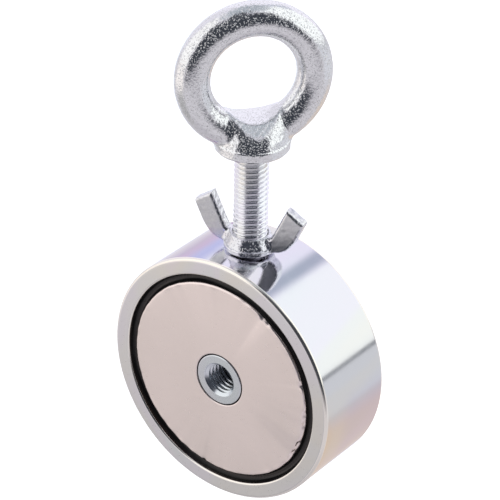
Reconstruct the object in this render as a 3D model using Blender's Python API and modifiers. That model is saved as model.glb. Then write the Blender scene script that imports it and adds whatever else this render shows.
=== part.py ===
"""Double-sided magnet fishing magnet: a steel pot with a ring magnet in each face, a forged eye bolt
screwed into the pot's side, and a wing nut that locks the bolt.

Metres, +Z up along the eye bolt. The origin is the centre of the rope eye. The pot's axis runs
along Y, and its front face looks along -Y."""

import math

import bmesh
import bpy
from mathutils import Matrix, Vector

COLLECTION_NAME = "magnet_fishing_magnet"

# Pot
POT_RADIUS = 0.030
POT_LENGTH = 0.022
RIM_WALL = 0.0039
RIM_CHAMFER = 0.0004
FACE_RECESS = 0.0003  # how far the magnets and the bush sit below the rim
POT_SEGMENTS = 72

# Magnets and the resin round them
MAGNET_CHAMFER = 0.0003
RESIN_GROOVE = 0.0020  # radial width of the groove between rim and magnet
RESIN_SINK = 0.0006  # how far the resin stops below the magnet's face
GLUE_THICKNESS = 0.0003
GLUE_GAP = 0.0001  # between resin or glue and what it holds
WEB_COVER = 0.0010  # steel left between the bolt's hole and each bed of glue

# Centre bush
BUSH_RADIUS = 0.00614
BUSH_BORE_INSET = 0.0005  # the bush's bore inside the shank's thread
BUSH_MOUTH_CHAMFER = 0.0008
BUSH_GROOVE = 0.0005  # radial width of the resin line between bush and magnet
BUSH_SEGMENTS = 36

# Eye bolt
THREAD_RADIUS = 0.0039
THREAD_CLEARANCE = 0.0003
SHANK_LENGTH = 0.0382
SHANK_IN_POT = 0.0130
SHANK_END_CHAMFER = 0.0008
HOLE_BEYOND_SHANK = 0.0010  # depth of the pot's hole past the end of the shank
DRILL_POINT_ANGLE = math.radians(118.0)
COLLAR_LIP = 0.0045  # collar's edge beyond the shank
COLLAR_HEIGHT = 0.0018
COLLAR_CHAMFER = 0.0004
NECK_INSET = 0.0002  # foot of the neck inside the collar's edge
NECK_HEIGHT = 0.0037  # steep part of the neck, from the collar up to the shoulder
NECK_TAPER = 0.0015  # inward over that height
SHOULDER_SLOPE = math.radians(45.0)
NECK_OVERRUN = 0.0012  # the neck's blank reaches this far into the eye before it is cut through
RING_SECTION_RADIUS = 0.00396
EYE_RADIUS = 0.00958  # inside of the ring
RING_SINK = 0.0003  # how far the ring's lowest part would reach past the collar's underside
RING_TURN = math.radians(50.7)  # from +X to the ring's plane, about +Z
SADDLE_TRIM = 0.0001  # the eye's hole cuts the neck this far clear of the ring's inner side
RING_FLAT_RISE = 0.0002  # the ring's bottom is cut flat this far inside the collar's underside
ROUND_SEGMENTS = 48

# Wing nut
NUT_SEAT_GAP = 0.0003
NUT_WALL = 0.0004  # round the bore at the hub's top
NUT_HUB_TAPER = 0.0011  # outward from the hub's top to its foot
NUT_BASE_LIP = 0.0002
NUT_BASE_HEIGHT = 0.0010
NUT_HUB_HEIGHT = 0.0037
NUT_CHAMFER = 0.0003
WING_THICKNESS = 0.0029
WING_SPAN = 0.0076  # from the base's edge to the wing's outer corner
WING_HEIGHT = 0.0119  # from the nut's base to the wing's top corner
WING_TIP_RUN = 0.0044  # the tip edge's run outward
WING_TIP_DROP = 0.0030  # the tip edge's fall outward
WING_SIDE_INSET = 0.0010  # lower end of the wing's outer side, inside its outer corner
WING_SIDE_HEIGHT = 0.0069
WING_BELLY_INSET = 0.0033  # corner halfway down the wing's lower side
WING_BELLY_HEIGHT = 0.0024
WING_ROOT_HEIGHT = 0.0003
WING_CORNER_EASE = 0.0004  # eases the corner between the hub's top and the wing
NUT_TURN = math.radians(11.3)

# Places that follow from the sizes
THREAD_HOLE_RADIUS = THREAD_RADIUS + THREAD_CLEARANCE
WEB_HALF = THREAD_HOLE_RADIUS + WEB_COVER
MAGNET_THICKNESS = POT_LENGTH / 2 - FACE_RECESS - WEB_HALF - GLUE_THICKNESS - 2 * GLUE_GAP
RECESS_RADIUS = POT_RADIUS - RIM_WALL
MAGNET_RADIUS = RECESS_RADIUS - RESIN_GROOVE
MAGNET_HOLE_RADIUS = BUSH_RADIUS + BUSH_GROOVE
MAGNET_FACE = POT_LENGTH / 2 - FACE_RECESS
BUSH_BORE_RADIUS = THREAD_RADIUS - BUSH_BORE_INSET
RING_RADIUS = EYE_RADIUS + RING_SECTION_RADIUS  # to the middle of the ring's round section
COLLAR_RADIUS = THREAD_RADIUS + COLLAR_LIP
SHANK_TOP = RING_SINK - RING_RADIUS - RING_SECTION_RADIUS
SHANK_END = SHANK_TOP - SHANK_LENGTH
POT_TOP = SHANK_END + SHANK_IN_POT
POT_CENTRE = POT_TOP - POT_RADIUS
NUT_TOP_RADIUS = THREAD_HOLE_RADIUS + NUT_WALL
NUT_HUB_RADIUS = NUT_TOP_RADIUS + NUT_HUB_TAPER
NUT_BASE_RADIUS = NUT_HUB_RADIUS + NUT_BASE_LIP
WING_REACH = NUT_BASE_RADIUS + WING_SPAN  # from the axis to the wing's outer corner
SIDE_NAMES = {"front": 1.0, "rear": -1.0}


def clear_scene():
    for old in list(bpy.data.objects):
        bpy.data.objects.remove(old, do_unlink=True)


def new_collection(name):
    collection = bpy.data.collections.new(name)
    bpy.context.scene.collection.children.link(collection)
    return collection


def new_material(name, colour, roughness, metallic):
    material = bpy.data.materials.new(name)
    material.use_nodes = True
    shader = material.node_tree.nodes["Principled BSDF"]
    shader.inputs["Base Color"].default_value = (*colour, 1.0)
    shader.inputs["Roughness"].default_value = roughness
    shader.inputs["Metallic"].default_value = metallic
    return material


def new_object(name, mesh, collection, material=None):
    item = bpy.data.objects.new(name, mesh)
    collection.objects.link(item)
    if material:
        mesh.materials.append(material)
    return item


def turned(name, profile, segments, collection, material=None, closed=True):
    """A turned piece: its profile, (radius, height) points running down the outer side, is swept
    round the object's Z by a Screw modifier."""
    mesh = bpy.data.meshes.new(name)
    bm = bmesh.new()
    points = [bm.verts.new((radius, 0.0, height)) for radius, height in profile]
    for first, second in zip(points, points[1:]):
        bm.edges.new((first, second))
    if closed:
        bm.edges.new((points[-1], points[0]))
    bm.to_mesh(mesh)
    bm.free()
    item = new_object(name, mesh, collection, material)
    screw = item.modifiers.new("Turn", "SCREW")
    screw.axis = "Z"
    screw.angle = math.tau
    screw.steps = segments
    screw.render_steps = segments
    screw.use_merge_vertices = True
    screw.merge_threshold = 0.00001
    screw.use_smooth_shade = False
    return item


def cut_or_join(item, other, operation):
    boolean = item.modifiers.new(operation.title(), "BOOLEAN")
    boolean.operation = operation
    boolean.object = other
    boolean.solver = "EXACT"


def as_guide(item):
    item.hide_render = True
    item.display_type = "WIRE"


def lay_along_y(item):
    """Turns a piece made round Z so that its top looks along -Y, at the pot's centre."""
    item.rotation_euler = (math.radians(90.0), 0.0, 0.0)
    item.location = (0.0, 0.0, POT_CENTRE)


def ring_profile(inner, outer, low, high, chamfer=0.0):
    """A rectangular section, with the two corners at its high end chamfered."""
    if not chamfer:
        return [(outer, high), (outer, low), (inner, low), (inner, high)]
    return [
        (outer - chamfer, high),
        (outer, high - chamfer),
        (outer, low),
        (inner, low),
        (inner, high - chamfer),
        (inner + chamfer, high),
    ]


def flipped(profile, side):
    """The same section for the front (+1) or, turned end for end, for the rear (-1) of the pot."""
    if side > 0:
        return profile
    return [(radius, -height) for radius, height in reversed(profile)]


def build_housing(parts, guides, steel):
    """The pot: a rim round both recesses and a web between them, bored for the bush and drilled
    from the side for the eye bolt."""
    half = POT_LENGTH / 2
    web_bore = BUSH_RADIUS + GLUE_GAP
    lower = [
        (POT_RADIUS, -half + RIM_CHAMFER),
        (POT_RADIUS - RIM_CHAMFER, -half),
        (RECESS_RADIUS + RIM_CHAMFER, -half),
        (RECESS_RADIUS, -half + RIM_CHAMFER),
        (RECESS_RADIUS, -WEB_HALF),
        (web_bore, -WEB_HALF),
    ]
    upper = [(radius, -height) for radius, height in reversed(lower)]
    housing = turned("housing", lower + upper, POT_SEGMENTS, parts, steel)
    lay_along_y(housing)
    drill = turned("bolt_hole", bolt_hole_profile(), ROUND_SEGMENTS, guides, closed=False)
    as_guide(drill)
    cut_or_join(housing, drill, "DIFFERENCE")


def bolt_hole_profile():
    above_pot = POT_TOP + 0.002
    bottom = SHANK_END - HOLE_BEYOND_SHANK
    point_depth = THREAD_HOLE_RADIUS / math.tan(DRILL_POINT_ANGLE / 2)
    return [
        (0.0, above_pot),
        (THREAD_HOLE_RADIUS, above_pot),
        (THREAD_HOLE_RADIUS, bottom),
        (0.0, bottom - point_depth),
    ]


def build_magnet(name, side, parts, nickel):
    profile = ring_profile(
        MAGNET_HOLE_RADIUS, MAGNET_RADIUS, MAGNET_FACE - MAGNET_THICKNESS, MAGNET_FACE, MAGNET_CHAMFER
    )
    lay_along_y(turned(name, flipped(profile, side), POT_SEGMENTS, parts, nickel))


def build_resin_ring(name, side, inner, outer, parts, resin):
    """Resin poured into a groove, from the web up to just below the magnet's face."""
    profile = ring_profile(
        inner + GLUE_GAP, outer - GLUE_GAP, WEB_HALF + GLUE_GAP, MAGNET_FACE - RESIN_SINK
    )
    lay_along_y(turned(name, flipped(profile, side), POT_SEGMENTS, parts, resin))


def build_glue_bed(name, side, parts, resin):
    low = WEB_HALF + GLUE_GAP
    profile = ring_profile(MAGNET_HOLE_RADIUS, MAGNET_RADIUS, low, low + GLUE_THICKNESS)
    lay_along_y(turned(name, flipped(profile, side), POT_SEGMENTS, parts, resin))


def build_bush(parts, steel):
    """The threaded sleeve pressed through the web, open from face to face."""
    mouth = BUSH_BORE_RADIUS + BUSH_MOUTH_CHAMFER
    lower = [
        (BUSH_RADIUS, -MAGNET_FACE + MAGNET_CHAMFER),
        (BUSH_RADIUS - MAGNET_CHAMFER, -MAGNET_FACE),
        (mouth, -MAGNET_FACE),
        (BUSH_BORE_RADIUS, -MAGNET_FACE + BUSH_MOUTH_CHAMFER),
    ]
    upper = [(radius, -height) for radius, height in reversed(lower)]
    lay_along_y(turned("centre_bush", lower + upper, BUSH_SEGMENTS, parts, steel))


def eye_bolt_profile():
    """The turned body from inside the ring's section down to the end of the shank. A sloping
    shoulder at the eye's hole leads on to the steep neck, which stands on the collar."""
    collar_top = SHANK_TOP + COLLAR_HEIGHT
    shoulder_height = collar_top + NECK_HEIGHT
    foot_radius = COLLAR_RADIUS - NECK_INSET
    shoulder_radius = foot_radius - NECK_TAPER
    rise = NECK_OVERRUN - EYE_RADIUS - shoulder_height
    top_radius = shoulder_radius - rise / math.tan(SHOULDER_SLOPE)
    return [
        (0.0, shoulder_height + rise),
        (top_radius, shoulder_height + rise),
        (shoulder_radius, shoulder_height),
        (foot_radius, collar_top),
        (COLLAR_RADIUS, collar_top - COLLAR_CHAMFER),
        (COLLAR_RADIUS, SHANK_TOP + COLLAR_CHAMFER),
        (COLLAR_RADIUS - COLLAR_CHAMFER, SHANK_TOP),
        (THREAD_RADIUS, SHANK_TOP),
        (THREAD_RADIUS, SHANK_END + SHANK_END_CHAMFER),
        (THREAD_RADIUS - SHANK_END_CHAMFER, SHANK_END),
        (0.0, SHANK_END),
    ]


def build_eye_bolt(parts, guides, steel):
    """A forged ring joined to the collar and shank. The ring's bottom is flattened inside the
    collar, and its hole runs through the neck too, which leaves a saddle at the bottom of the eye."""
    bolt = turned("eye_bolt", eye_bolt_profile(), ROUND_SEGMENTS, parts, steel, closed=False)
    bpy.ops.mesh.primitive_torus_add(
        major_radius=RING_RADIUS,
        minor_radius=RING_SECTION_RADIUS,
        major_segments=ROUND_SEGMENTS,
        minor_segments=16,
        rotation=(math.radians(90.0), 0.0, RING_TURN),
    )
    ring = move_to_guides("eye_ring", guides)
    bpy.ops.mesh.primitive_cube_add(
        size=4 * RING_RADIUS,
        location=(0.0, 0.0, SHANK_TOP + RING_FLAT_RISE - 2 * RING_RADIUS),
    )
    cut_or_join(ring, move_to_guides("ring_bottom_flat", guides), "DIFFERENCE")
    bpy.ops.mesh.primitive_cylinder_add(
        vertices=ROUND_SEGMENTS,
        radius=EYE_RADIUS - SADDLE_TRIM,
        depth=4 * RING_SECTION_RADIUS,
        rotation=(math.radians(90.0), 0.0, RING_TURN),
    )
    hole = move_to_guides("eye_hole", guides)
    cut_or_join(bolt, ring, "UNION")
    cut_or_join(bolt, hole, "DIFFERENCE")


def move_to_guides(name, guides):
    item = bpy.context.active_object
    item.name = name
    for holder in list(item.users_collection):
        holder.objects.unlink(item)
    guides.objects.link(item)
    as_guide(item)
    return item


def wing_outline(root_radius):
    """The wing seen from the side, as (distance from the axis, height above the nut's base)."""
    inner_corner = WING_REACH - WING_TIP_RUN
    return [
        (root_radius, WING_ROOT_HEIGHT),
        (NUT_BASE_RADIUS, WING_ROOT_HEIGHT),
        (WING_REACH - WING_BELLY_INSET, WING_BELLY_HEIGHT),
        (WING_REACH - WING_SIDE_INSET, WING_SIDE_HEIGHT),
        (WING_REACH, WING_HEIGHT - WING_TIP_DROP),
        (inner_corner, WING_HEIGHT),
        (NUT_HUB_RADIUS + WING_CORNER_EASE, NUT_HUB_HEIGHT + WING_CORNER_EASE),
        (root_radius, NUT_HUB_HEIGHT - WING_CORNER_EASE),
    ]


def flat_plate(name, outline, thickness, collection):
    """A plate of the given outline, standing in the XZ plane."""
    curve = bpy.data.curves.new(name, "CURVE")
    curve.dimensions = "2D"
    curve.fill_mode = "BOTH"
    curve.extrude = thickness / 2
    spline = curve.splines.new("POLY")
    spline.points.add(len(outline) - 1)
    for point, (x, y) in zip(spline.points, outline):
        point.co = (x, y, 0.0, 1.0)
    spline.use_cyclic_u = True
    drawn = bpy.data.objects.new(name + "_outline", curve)
    collection.objects.link(drawn)
    graph = bpy.context.evaluated_depsgraph_get()
    mesh = bpy.data.meshes.new_from_object(drawn.evaluated_get(graph))
    bpy.data.objects.remove(drawn, do_unlink=True)
    bm = bmesh.new()
    bm.from_mesh(mesh)
    bmesh.ops.remove_doubles(bm, verts=bm.verts, dist=0.000001)
    bmesh.ops.rotate(
        bm, verts=bm.verts, cent=Vector(), matrix=Matrix.Rotation(math.radians(90.0), 3, "X")
    )
    bmesh.ops.recalc_face_normals(bm, faces=bm.faces)
    bm.to_mesh(mesh)
    bm.free()
    return new_object(name, mesh, collection)


def build_wing_nut(parts, guides, steel):
    """The hub, bored for the shank, with two wings on opposite sides of it."""
    bore = THREAD_HOLE_RADIUS
    profile = [
        (NUT_TOP_RADIUS - NUT_CHAMFER, NUT_HUB_HEIGHT),
        (NUT_TOP_RADIUS, NUT_HUB_HEIGHT - NUT_CHAMFER),
        (NUT_HUB_RADIUS, NUT_BASE_HEIGHT),
        (NUT_BASE_RADIUS, NUT_BASE_HEIGHT - NUT_CHAMFER),
        (NUT_BASE_RADIUS, NUT_CHAMFER),
        (NUT_BASE_RADIUS - NUT_CHAMFER, 0.0),
        (bore, 0.0),
        (bore, NUT_HUB_HEIGHT),
    ]
    nut = turned("wing_nut", profile, ROUND_SEGMENTS, parts, steel)
    nut.location = (0.0, 0.0, POT_TOP + NUT_SEAT_GAP)
    root = (bore + NUT_TOP_RADIUS) / 2
    for name, turn in (("wing_right", 0.0), ("wing_left", math.pi)):
        wing = flat_plate(name, wing_outline(root), WING_THICKNESS, guides)
        wing.rotation_euler = (0.0, 0.0, NUT_TURN + turn)
        wing.location = nut.location
        as_guide(wing)
        cut_or_join(nut, wing, "UNION")


def main():
    clear_scene()
    parts = new_collection(COLLECTION_NAME)
    guides = new_collection("guides")
    zinc = new_material("zinc_plated_steel", (0.72, 0.74, 0.78), 0.22, 1.0)
    forged = new_material("forged_zinc_steel", (0.66, 0.68, 0.72), 0.30, 1.0)
    nickel = new_material("nickel_plate", (0.78, 0.72, 0.69), 0.25, 1.0)
    resin = new_material("black_resin", (0.02, 0.02, 0.022), 0.25, 0.0)
    build_housing(parts, guides, zinc)
    for label, side in SIDE_NAMES.items():
        build_magnet(label + "_magnet", side, parts, nickel)
        build_resin_ring(label + "_resin_ring", side, MAGNET_RADIUS, RECESS_RADIUS, parts, resin)
        build_resin_ring(label + "_bush_seal", side, BUSH_RADIUS, MAGNET_HOLE_RADIUS, parts, resin)
        build_glue_bed(label + "_glue_bed", side, parts, resin)
    build_bush(parts, zinc)
    build_eye_bolt(parts, guides, forged)
    build_wing_nut(parts, guides, forged)


main()
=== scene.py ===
"""Finished surfaces, lights and camera for a double-sided fishing magnet.

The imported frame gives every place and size: the rope eye's centre is the origin, +Z runs up the
eye bolt, and the pot's axis runs along Y with its front face towards -Y. Metres throughout."""

import math

import bmesh
import bpy
import numpy as np
from bpy.props import FloatProperty, FloatVectorProperty, PointerProperty
from mathutils import Matrix, Vector


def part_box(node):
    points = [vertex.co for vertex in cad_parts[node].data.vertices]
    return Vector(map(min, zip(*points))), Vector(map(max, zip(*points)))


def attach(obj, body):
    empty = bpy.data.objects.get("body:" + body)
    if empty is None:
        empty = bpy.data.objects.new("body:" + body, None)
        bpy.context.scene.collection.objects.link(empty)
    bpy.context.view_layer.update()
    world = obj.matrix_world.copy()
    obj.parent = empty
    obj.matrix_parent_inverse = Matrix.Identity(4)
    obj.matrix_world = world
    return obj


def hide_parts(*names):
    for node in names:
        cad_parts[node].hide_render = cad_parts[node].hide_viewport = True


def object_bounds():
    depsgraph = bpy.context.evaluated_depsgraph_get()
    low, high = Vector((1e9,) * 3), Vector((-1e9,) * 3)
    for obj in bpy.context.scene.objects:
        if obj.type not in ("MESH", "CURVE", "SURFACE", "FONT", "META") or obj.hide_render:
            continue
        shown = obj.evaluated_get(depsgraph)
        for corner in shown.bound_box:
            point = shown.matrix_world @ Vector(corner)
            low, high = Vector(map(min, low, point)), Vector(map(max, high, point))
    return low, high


bl_info = {
    "name": "Fishing magnet finish",
    "version": (1, 0, 0),
    "blender": (4, 5, 0),
    "location": "3D View > Sidebar > Magnet",
    "description": "Builds the finished pieces of a double-sided fishing magnet round its CAD frame",
    "category": "Object",
}

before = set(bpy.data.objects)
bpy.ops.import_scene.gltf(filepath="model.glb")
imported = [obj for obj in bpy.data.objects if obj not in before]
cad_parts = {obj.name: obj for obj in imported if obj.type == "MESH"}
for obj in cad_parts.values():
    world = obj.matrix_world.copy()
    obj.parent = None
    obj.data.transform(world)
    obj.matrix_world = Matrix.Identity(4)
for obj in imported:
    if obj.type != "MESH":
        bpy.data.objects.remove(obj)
CAD_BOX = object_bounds()

POT_LOW, POT_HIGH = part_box("housing")
POT_RADIUS = (POT_HIGH[0] - POT_LOW[0]) / 2
POT_HALF = (POT_HIGH[1] - POT_LOW[1]) / 2
POT_CENTRE = Vector((0.0, 0.0, (POT_LOW[2] + POT_HIGH[2]) / 2))
POT_TOP = POT_HIGH[2]
MAGNET_LOW, MAGNET_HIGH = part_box("front_magnet")
MAGNET_RADIUS = (MAGNET_HIGH[0] - MAGNET_LOW[0]) / 2
MAGNET_FACE = -MAGNET_LOW[1]
MAGNET_BACK = -MAGNET_HIGH[1]
WEB_HALF = -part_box("front_resin_ring")[1][1]
RECESS = POT_RADIUS - 0.0039  # inner radius of the rim
BUSH_LOW, BUSH_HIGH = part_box("centre_bush")
BUSH_RADIUS = (BUSH_HIGH[0] - BUSH_LOW[0]) / 2
BUSH_HALF = (BUSH_HIGH[1] - BUSH_LOW[1]) / 2
NUT_LOW, NUT_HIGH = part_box("wing_nut")
NUT_BASE = NUT_LOW[2]
NUT_HEIGHT = NUT_HIGH[2] - NUT_LOW[2]
SHANK_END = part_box("eye_bolt")[0][2]

ARC_STEPS = 6
THREAD_STEPS = 14  # sides along one pitch of a thread's profile
SUPPORT = 0.00004  # a loop this far past each rounded edge keeps the flat beside it flat
MERGE = 0.0000005
CREASE_ANGLE = math.radians(32.0)
EDGE = 0.0003  # rounding of the edges of the neck, the collar and the nut's hub
BEYOND = 0.001  # how far a cutter or a blank runs past the surface that it meets
FORGING_VOXEL = 0.00024
NUT_VOXEL = 0.00013


# Sizes and colours


def length(name, description, default):
    return FloatProperty(name=name, description=description, default=default, unit="LENGTH", precision=5)


def turn(name, description, degrees):
    return FloatProperty(
        name=name, description=description, default=math.radians(degrees), subtype="ANGLE"
    )


def colour(name, description, default):
    return FloatVectorProperty(
        name=name, description=description, default=default, subtype="COLOR", size=3, min=0.0, max=1.0
    )


class PotSettings(bpy.types.PropertyGroup):
    edge_round: length("Edge round", "Radius on the rim's edges", 0.0008)
    hole_radius: length("Bolt hole", "Radius of the hole in the pot's side", 0.00405)
    zinc: colour("Zinc", "Plating colour of the pot", (0.785, 0.79, 0.795))
    rim: colour("Rim", "Colour of the ground rim faces", (0.81, 0.795, 0.785))


class MagnetSettings(bpy.types.PropertyGroup):
    hole_gap: length("Hole gap", "Radial gap between the magnet and the bush", 0.0003)
    edge_round: length("Edge round", "Radius on the magnet's outer edge", 0.00045)
    nickel: colour("Nickel", "Plating colour of the magnets", (0.97, 0.855, 0.825))
    resin: colour("Resin", "Colour of the potting resin", (0.006, 0.0055, 0.006))
    resin_sink: length("Resin sink", "Depth of the resin below the magnet's face", 0.0004)
    resin_dip: length("Resin dip", "Sag of the resin between its walls", 0.0009)
    line_sink: length("Bush line sink", "Depth of the line of resin round the bush", 0.0002)
    line_dip: length("Bush line dip", "Sag of the line of resin round the bush", 0.0001)


class BushSettings(bpy.types.PropertyGroup):
    bore: length("Bore", "Radius inside the thread's crests", 0.00338)
    groove: length("Groove", "Radius at the bottom of the thread", 0.00404)
    mouth: length("Mouth", "Outer radius of the countersink", 0.0042)
    steel: colour("Bush steel", "Plating colour of the bush", (0.76, 0.79, 0.80))


class EyeBoltSettings(bpy.types.PropertyGroup):
    ring_radius: length("Ring", "Radius to the middle of the ring's section", 0.01354)
    section: length("Section", "Radius of the ring's round section", 0.00396)
    ring_turn: turn("Ring turn", "Angle of the ring's plane from +X", 50.7)
    collar_radius: length("Collar", "Radius of the collar", 0.0084)
    collar_height: length("Collar height", "Height of the collar's edge", 0.0023)
    collar_drop: length("Collar drop", "Depth of the collar's underside below the ring's centre", 0.0172)
    pitch: length("Pitch", "Pitch of the thread", 0.00125)
    crest: length("Crest", "Radius over the shank's thread", 0.0039)
    root: length("Root", "Radius at the bottom of the shank's thread", 0.00318)
    steel: colour("Forged steel", "Plating colour of the forging", (0.88, 0.885, 0.90))


class WingNutSettings(bpy.types.PropertyGroup):
    base_radius: length("Base", "Radius of the nut's foot", 0.0059)
    hub_height: length("Hub height", "Height of the nut's hub", 0.0037)
    thickness: length("Wing thickness", "Thickness of the wings", 0.0029)
    nut_turn: turn("Nut turn", "Angle of the wings from +X", 11.3)
    steel: colour("Nut steel", "Plating colour of the nut", (0.80, 0.805, 0.82))


class StageSettings(bpy.types.PropertyGroup):
    distance: length("Distance", "Camera distance from its aim", 0.5832)
    azimuth: turn("Azimuth", "Camera angle round the magnet, from the front", 36.45)
    elevation: turn("Elevation", "Camera angle above the horizon", 30.3)
    roll: turn("Roll", "Camera roll", 1.22)
    floor_drop: length("Floor drop", "Height of the magnet above the floor", 0.25)
    floor: colour("Floor", "Colour of the floor", (0.95, 0.95, 0.95))


SETTINGS = {
    "magnet_pot": PotSettings,
    "magnet_faces": MagnetSettings,
    "magnet_bush": BushSettings,
    "magnet_eye_bolt": EyeBoltSettings,
    "magnet_wing_nut": WingNutSettings,
    "magnet_stage": StageSettings,
}


# Mesh helpers


def mesh_from(name, bm):
    mesh = bpy.data.meshes.new(name)
    bm.to_mesh(mesh)
    bm.free()
    return mesh


def place(name, mesh, body, nodes, materials, crease=CREASE_ANGLE):
    """Shows a mesh as a piece that rides on its body in place of its CAD nodes."""
    piece = bpy.data.objects.new(name, mesh)
    bpy.context.scene.collection.objects.link(piece)
    mesh.materials.clear()
    for material in materials:
        mesh.materials.append(material)
    if crease:
        mesh.shade_smooth()
        mesh.set_sharp_from_angle(angle=crease)
    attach(piece, body)
    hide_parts(*nodes)


def scratch_object(name, bm):
    item = bpy.data.objects.new(name, mesh_from(name, bm))
    bpy.context.scene.collection.objects.link(item)
    return item


def settled_mesh(item):
    """The object's mesh with its modifiers applied. The object is removed."""
    graph = bpy.context.evaluated_depsgraph_get()
    mesh = bpy.data.meshes.new_from_object(item.evaluated_get(graph))
    mesh.name = item.name
    bpy.data.objects.remove(item, do_unlink=True)
    return mesh


def boolean_mesh(name, blank, cutter, operation):
    """The mesh of one exact boolean between two bmeshes."""
    item, other = scratch_object(name, blank), scratch_object("cutter", cutter)
    modifier = item.modifiers.new(operation.title(), "BOOLEAN")
    modifier.operation = operation
    modifier.object = other
    modifier.solver = "EXACT"
    mesh = settled_mesh(item)
    bpy.data.objects.remove(other, do_unlink=True)
    return mesh


def rounded(corners):
    """A closed profile's points from (radius, height, round) corners: an arc at each rounded corner
    and a support point just past each end of it."""
    points = []
    for index, (x, y, size) in enumerate(corners):
        corner = Vector((x, y))
        if not size:
            points.append(corner)
            continue
        before = Vector(corners[index - 1][:2]) - corner
        after = Vector(corners[(index + 1) % len(corners)][:2]) - corner
        before.normalize()
        after.normalize()
        half = before.angle(after) / 2
        reach = size / math.tan(half)
        centre = corner + (before + after).normalized() * size / math.sin(half)
        start = corner + before * reach - centre
        end = corner + after * reach - centre
        sweep = start.angle_signed(end)
        points.append(corner + before * (reach + SUPPORT))
        for step in range(ARC_STEPS + 1):
            spoke = start.copy()
            spoke.rotate(Matrix.Rotation(-sweep * step / ARC_STEPS, 2))
            points.append(centre + spoke)
        points.append(corner + after * (reach + SUPPORT))
    return points


def spun(points, steps, closed=True):
    """A bmesh of the profile, (radius, height) points, spun once round Z."""
    bm = bmesh.new()
    verts = [bm.verts.new((x, 0.0, y)) for x, y in points]
    edges = [bm.edges.new(pair) for pair in zip(verts, verts[1:])]
    if closed:
        edges.append(bm.edges.new((verts[-1], verts[0])))
    bmesh.ops.spin(
        bm,
        geom=verts + edges,
        cent=(0.0, 0.0, 0.0),
        axis=(0.0, 0.0, 1.0),
        angle=math.tau,
        steps=steps,
        use_merge=True,
    )
    bmesh.ops.remove_doubles(bm, verts=bm.verts, dist=MERGE)
    bmesh.ops.recalc_face_normals(bm, faces=bm.faces)
    return bm


def lay_in_pot(bm, side=1):
    """Moves a shape spun round Z to the pot's axis: its top looks along -Y, or along +Y when side
    is -1."""
    turned = Matrix.Rotation(math.radians(90.0 * side), 4, "X")
    bmesh.ops.transform(bm, matrix=Matrix.Translation(POT_CENTRE) @ turned, verts=bm.verts)


def threaded_rod(crest, root, pitch, low, high, rolled=True):
    """A closed right-handed thread from low to high, its crest crossing +X at height 0: one pitch
    of the profile, rolled round or cut with straight flanks, is spun up the helix and cut square
    at both ends."""
    steps = 48  # to a turn
    profile = []
    for step in range(THREAD_STEPS + 1):
        share = step / THREAD_STEPS - 0.5
        if rolled:
            swell = 0.5 + 0.5 * math.cos(share * math.tau)
        else:
            swell = min(1.0, max(0.0, 1.325 - 3.3 * abs(share)))
        profile.append((root + (crest - root) * swell, share * pitch))
    first_turn = math.floor(low / pitch) - 1
    turns = math.ceil(high / pitch) + 1 - first_turn
    bm = bmesh.new()
    verts = [bm.verts.new((x, 0.0, y + first_turn * pitch)) for x, y in profile]
    edges = [bm.edges.new(pair) for pair in zip(verts, verts[1:])]
    bmesh.ops.spin(
        bm,
        geom=verts + edges,
        cent=(0.0, 0.0, 0.0),
        axis=(0.0, 0.0, 1.0),
        dvec=(0.0, 0.0, pitch / steps),
        angle=math.tau * turns,
        steps=steps * turns,
    )
    bmesh.ops.remove_doubles(bm, verts=bm.verts, dist=pitch / 500)
    for height, way in ((low, -1.0), (high, 1.0)):
        bmesh.ops.bisect_plane(
            bm,
            geom=bm.verts[:] + bm.edges[:] + bm.faces[:],
            plane_co=(0.0, 0.0, height),
            plane_no=(0.0, 0.0, way),
            clear_outer=True,
        )
        rim = [edge for edge in bm.edges if edge.is_boundary]
        rim = [edge for edge in rim if abs(edge.verts[0].co.z - height) < MERGE * 10]
        rim = [edge for edge in rim if abs(edge.verts[1].co.z - height) < MERGE * 10]
        bmesh.ops.edgeloop_fill(bm, edges=rim)
    bmesh.ops.recalc_face_normals(bm, faces=bm.faces)
    return bm


# Forms given by their distance, for the forging and the nut


def soft_min(a, b, blend):
    """The smaller of two distances, with a fillet of about this size where they meet."""
    mix = np.clip(blend - np.abs(a - b), 0.0, None) / blend
    return np.minimum(a, b) - mix * mix * blend / 4


def soft_max(a, b, blend):
    return -soft_min(-a, -b, blend)


def outline_distance(x, y, corners):
    """Signed distance to a closed outline of straight sides, negative inside."""
    nearest = np.full(x.shape, np.inf)
    inside = np.zeros(x.shape, dtype=bool)
    for (ax, ay), (bx, by) in zip(corners, corners[1:] + corners[:1]):
        ex, ey = bx - ax, by - ay
        wx, wy = x - ax, y - ay
        along = np.clip((wx * ex + wy * ey) / (ex * ex + ey * ey), 0.0, 1.0)
        nearest = np.minimum(nearest, np.hypot(wx - along * ex, wy - along * ey))
        crosses = (ay > y) != (by > y)
        with np.errstate(divide="ignore", invalid="ignore"):
            inside ^= crosses & (x < ax + ex * (y - ay) / ey)
    return np.where(inside, -nearest, nearest)


def read_points(mesh):
    points = np.empty(len(mesh.vertices) * 3, dtype=np.float32)
    mesh.vertices.foreach_get("co", points)
    return points.reshape(-1, 3).astype(np.float64)


def slope(distance, points):
    """The distance's gradient at each point."""
    reach = 0.00002
    steps = np.eye(3) * reach
    return np.stack(
        [(distance(points + step) - distance(points - step)) / (2 * reach) for step in steps], axis=1
    )


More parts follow.
